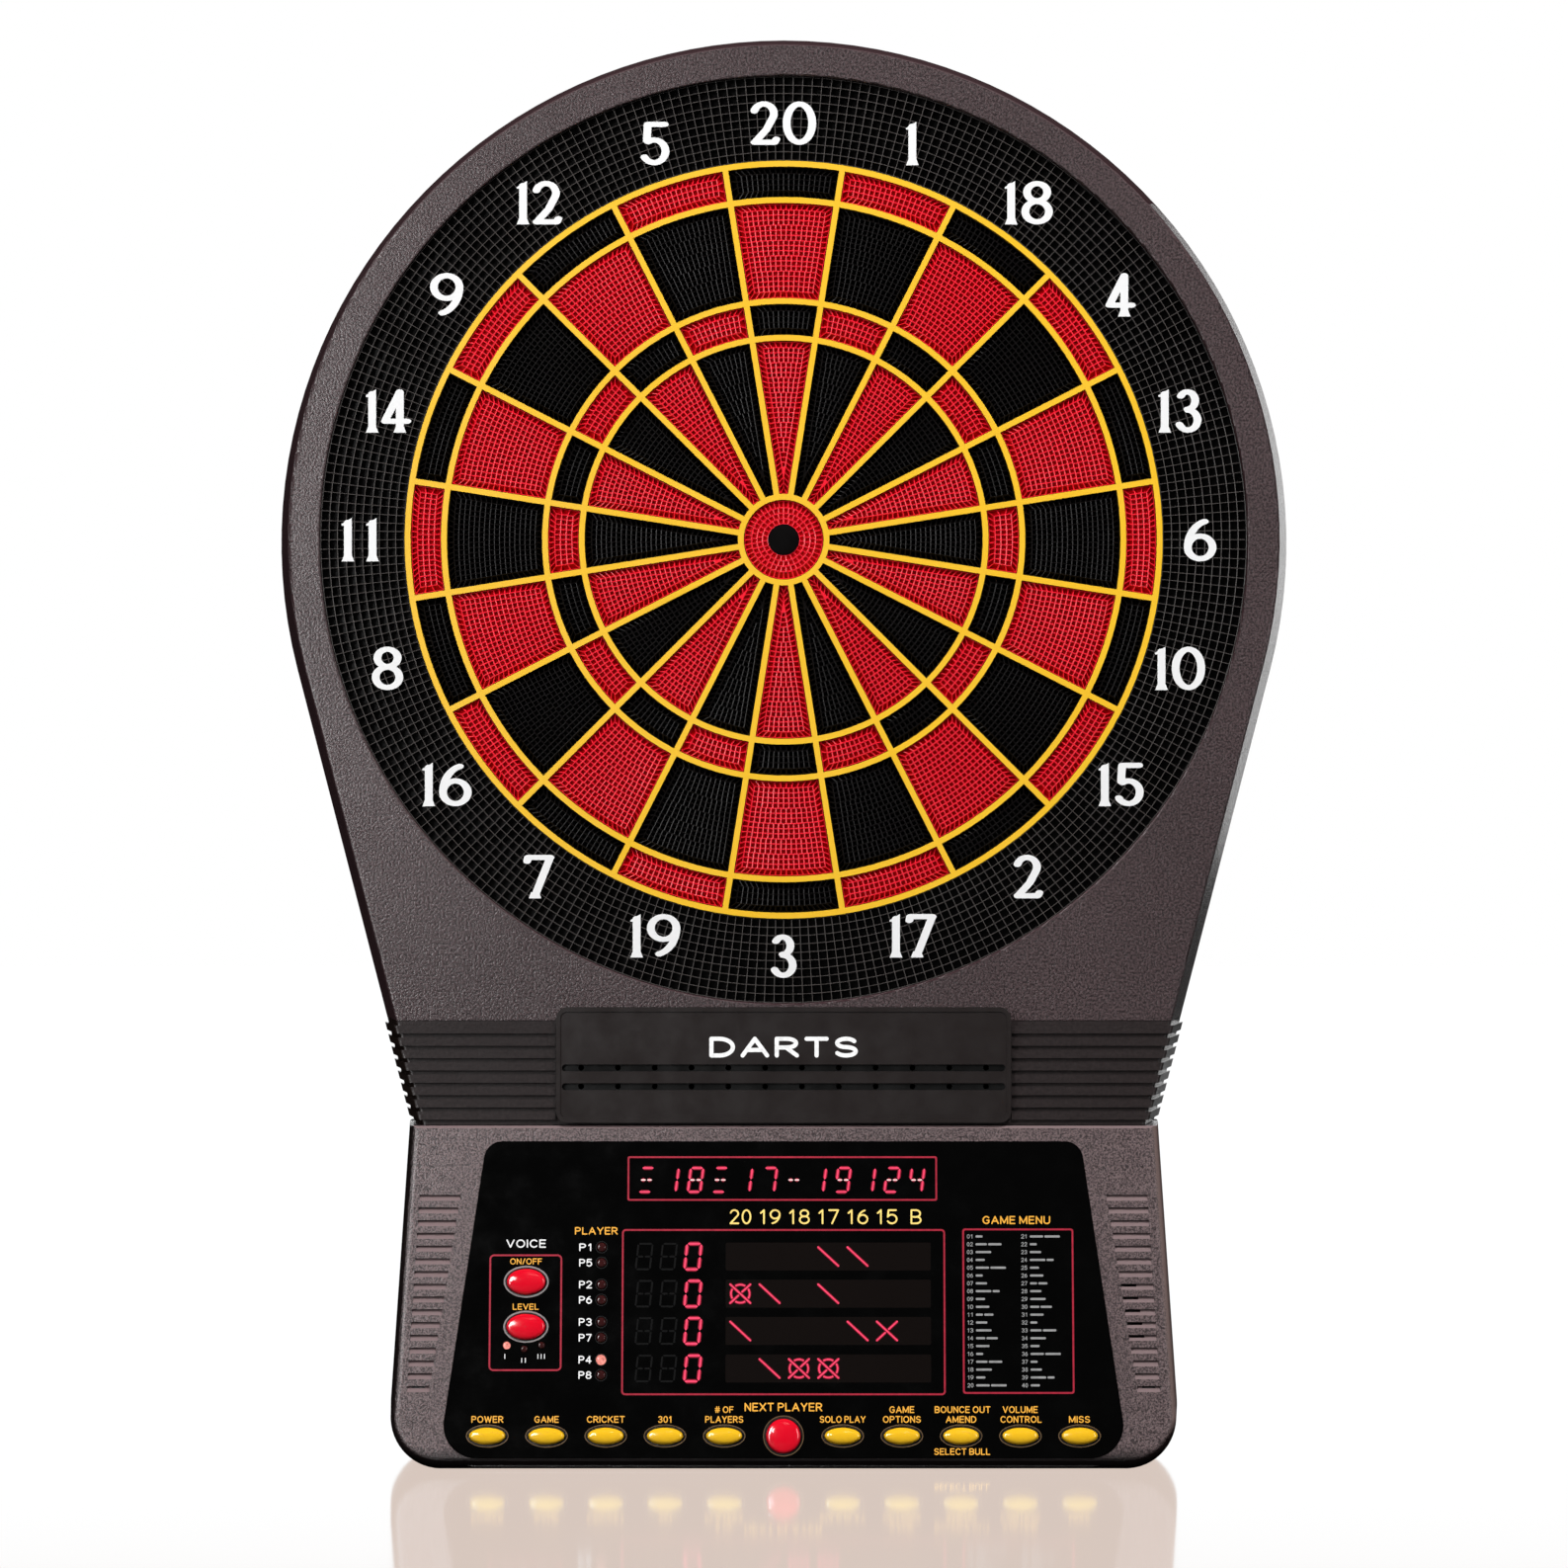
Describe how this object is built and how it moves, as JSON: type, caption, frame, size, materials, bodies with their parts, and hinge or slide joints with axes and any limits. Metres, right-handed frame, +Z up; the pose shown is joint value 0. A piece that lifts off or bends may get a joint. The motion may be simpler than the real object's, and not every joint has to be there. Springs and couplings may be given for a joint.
{
  "type": "electronic dartboard",
  "caption": "Wall-hung soft-tip electronic dartboard with pressable scoring segments, console keys and a dart rack.",
  "frame": {"origin": "bull axis where it meets the wall plane", "axes": "+Z up, +X to the player's right, -Y out of the wall towards the player"},
  "size_m": [0.5296, 0.0954, 0.7438],
  "materials": {
    "front_housing": "fine satin grain",
    "waist_band": "satin",
    "console_housing": "coarse moulded grain",
    "rear_cover": "fine satin grain",
    "dart_rack": "satin",
    "catch_ring": "satin, with moulded cells",
    "numerals": "printed white",
    "spider": "semi-gloss",
    "rubber_mat": "matt",
    "sensor_membrane": "clear film with printed tracks",
    "target_backplate": "moulded",
    "console_lens": "gloss black window",
    "marquee_digits": "tinted display modules",
    "score_digits": "tinted display modules",
    "mark_displays": "tinted display modules",
    "player_leds": "translucent red",
    "level_leds": "translucent red",
    "display_board": "green circuit board",
    "keypad_boards": "green circuit board",
    "keypad_domes": "matt",
    "speaker": "black",
    "speaker_clamp": "plain",
    "control_board": "green circuit board",
    "display_cable": "grey ribbon",
    "keypad_cable": "grey ribbon",
    "dc_jack": "black",
    "housing_screws": "zinc plated",
    "target_screws": "zinc plated",
    "rack_screws": "zinc plated",
    "board_screws": "zinc plated",
    "double_segments_red": "satin, with moulded cells",
    "double_segments_black": "satin, with moulded cells",
    "outer_single_segments_red": "satin, with moulded cells",
    "outer_single_segments_black": "satin, with moulded cells",
    "treble_segments_red": "satin, with moulded cells",
    "treble_segments_black": "satin, with moulded cells",
    "inner_single_segments_red": "satin, with moulded cells",
    "inner_single_segments_black": "satin, with moulded cells",
    "outer_bull": "satin, with moulded cells",
    "inner_bull": "semi-gloss",
    "power_button": "gloss",
    "game_button": "gloss",
    "cricket_button": "gloss",
    "countdown_button": "gloss",
    "players_button": "gloss",
    "next_player_button": "gloss",
    "solo_button": "gloss",
    "options_button": "gloss",
    "bounce_out_button": "gloss",
    "volume_button": "gloss",
    "miss_button": "gloss",
    "voice_switch_button": "gloss",
    "voice_level_button": "gloss"
  },
  "bodies": {
    "board": {"front_housing": "front_housing", "waist_band": "waist_band", "console_housing": "console_housing", "rear_cover": "rear_cover", "dart_rack": "dart_rack", "catch_ring": "catch_ring", "numerals": "numerals", "spider": "spider", "rubber_mat": "rubber_mat", "sensor_membrane": "sensor_membrane", "target_backplate": "target_backplate", "console_lens": "console_lens", "marquee_digits": "marquee_digits", "score_digits": "score_digits", "mark_displays": "mark_displays", "player_leds": "player_leds", "level_leds": "level_leds", "display_board": "display_board", "keypad_boards": "keypad_boards", "keypad_domes": "keypad_domes", "speaker": "speaker", "speaker_clamp": "speaker_clamp", "control_board": "control_board", "display_cable": "display_cable", "keypad_cable": "keypad_cable", "dc_jack": "dc_jack", "housing_screws": "housing_screws", "target_screws": "target_screws", "rack_screws": "rack_screws", "board_screws": "board_screws"},
    "double_segments_red": {"double_segments_red": "double_segments_red"},
    "double_segments_black": {"double_segments_black": "double_segments_black"},
    "outer_single_segments_red": {"outer_single_segments_red": "outer_single_segments_red"},
    "outer_single_segments_black": {"outer_single_segments_black": "outer_single_segments_black"},
    "treble_segments_red": {"treble_segments_red": "treble_segments_red"},
    "treble_segments_black": {"treble_segments_black": "treble_segments_black"},
    "inner_single_segments_red": {"inner_single_segments_red": "inner_single_segments_red"},
    "inner_single_segments_black": {"inner_single_segments_black": "inner_single_segments_black"},
    "outer_bull": {"outer_bull": "outer_bull"},
    "inner_bull": {"inner_bull": "inner_bull"},
    "power_button": {"power_button": "power_button"},
    "game_button": {"game_button": "game_button"},
    "cricket_button": {"cricket_button": "cricket_button"},
    "countdown_button": {"countdown_button": "countdown_button"},
    "players_button": {"players_button": "players_button"},
    "next_player_button": {"next_player_button": "next_player_button"},
    "solo_button": {"solo_button": "solo_button"},
    "options_button": {"options_button": "options_button"},
    "bounce_out_button": {"bounce_out_button": "bounce_out_button"},
    "volume_button": {"volume_button": "volume_button"},
    "miss_button": {"miss_button": "miss_button"},
    "voice_switch_button": {"voice_switch_button": "voice_switch_button"},
    "voice_level_button": {"voice_level_button": "voice_level_button"}
  },
  "joints": [
    {"name": "double_segments_red_press", "type": "slide", "parent": "board", "child": "double_segments_red", "axis": [0, 1, 0], "range_m": [0, 0.001], "stiffness_N_per_m": 400},
    {"name": "double_segments_black_press", "type": "slide", "parent": "board", "child": "double_segments_black", "axis": [0, 1, 0], "range_m": [0, 0.001], "stiffness_N_per_m": 400},
    {"name": "outer_single_segments_red_press", "type": "slide", "parent": "board", "child": "outer_single_segments_red", "axis": [0, 1, 0], "range_m": [0, 0.001], "stiffness_N_per_m": 400},
    {"name": "outer_single_segments_black_press", "type": "slide", "parent": "board", "child": "outer_single_segments_black", "axis": [0, 1, 0], "range_m": [0, 0.001], "stiffness_N_per_m": 400},
    {"name": "treble_segments_red_press", "type": "slide", "parent": "board", "child": "treble_segments_red", "axis": [0, 1, 0], "range_m": [0, 0.001], "stiffness_N_per_m": 400},
    {"name": "treble_segments_black_press", "type": "slide", "parent": "board", "child": "treble_segments_black", "axis": [0, 1, 0], "range_m": [0, 0.001], "stiffness_N_per_m": 400},
    {"name": "inner_single_segments_red_press", "type": "slide", "parent": "board", "child": "inner_single_segments_red", "axis": [0, 1, 0], "range_m": [0, 0.001], "stiffness_N_per_m": 400},
    {"name": "inner_single_segments_black_press", "type": "slide", "parent": "board", "child": "inner_single_segments_black", "axis": [0, 1, 0], "range_m": [0, 0.001], "stiffness_N_per_m": 400},
    {"name": "outer_bull_press", "type": "slide", "parent": "board", "child": "outer_bull", "axis": [0, 1, 0], "range_m": [0, 0.001], "stiffness_N_per_m": 400},
    {"name": "inner_bull_press", "type": "slide", "parent": "board", "child": "inner_bull", "axis": [0, 1, 0], "range_m": [0, 0.001], "stiffness_N_per_m": 400},
    {"name": "power_button_press", "type": "slide", "parent": "board", "child": "power_button", "axis": [0, 0.9848, -0.1736], "range_m": [0, 0.0012], "stiffness_N_per_m": 300},
    {"name": "game_button_press", "type": "slide", "parent": "board", "child": "game_button", "axis": [0, 0.9848, -0.1736], "range_m": [0, 0.0012], "stiffness_N_per_m": 300},
    {"name": "cricket_button_press", "type": "slide", "parent": "board", "child": "cricket_button", "axis": [0, 0.9848, -0.1736], "range_m": [0, 0.0012], "stiffness_N_per_m": 300},
    {"name": "countdown_button_press", "type": "slide", "parent": "board", "child": "countdown_button", "axis": [0, 0.9848, -0.1736], "range_m": [0, 0.0012], "stiffness_N_per_m": 300},
    {"name": "players_button_press", "type": "slide", "parent": "board", "child": "players_button", "axis": [0, 0.9848, -0.1736], "range_m": [0, 0.0012], "stiffness_N_per_m": 300},
    {"name": "next_player_button_press", "type": "slide", "parent": "board", "child": "next_player_button", "axis": [0, 0.9848, -0.1736], "range_m": [0, 0.0012], "stiffness_N_per_m": 300},
    {"name": "solo_button_press", "type": "slide", "parent": "board", "child": "solo_button", "axis": [0, 0.9848, -0.1736], "range_m": [0, 0.0012], "stiffness_N_per_m": 300},
    {"name": "options_button_press", "type": "slide", "parent": "board", "child": "options_button", "axis": [0, 0.9848, -0.1736], "range_m": [0, 0.0012], "stiffness_N_per_m": 300},
    {"name": "bounce_out_button_press", "type": "slide", "parent": "board", "child": "bounce_out_button", "axis": [0, 0.9848, -0.1736], "range_m": [0, 0.0012], "stiffness_N_per_m": 300},
    {"name": "volume_button_press", "type": "slide", "parent": "board", "child": "volume_button", "axis": [0, 0.9848, -0.1736], "range_m": [0, 0.0012], "stiffness_N_per_m": 300},
    {"name": "miss_button_press", "type": "slide", "parent": "board", "child": "miss_button", "axis": [0, 0.9848, -0.1736], "range_m": [0, 0.0012], "stiffness_N_per_m": 300},
    {"name": "voice_switch_button_press", "type": "slide", "parent": "board", "child": "voice_switch_button", "axis": [0, 0.9848, -0.1736], "range_m": [0, 0.0012], "stiffness_N_per_m": 300},
    {"name": "voice_level_button_press", "type": "slide", "parent": "board", "child": "voice_level_button", "axis": [0, 0.9848, -0.1736], "range_m": [0, 0.0012], "stiffness_N_per_m": 300}
  ]
}
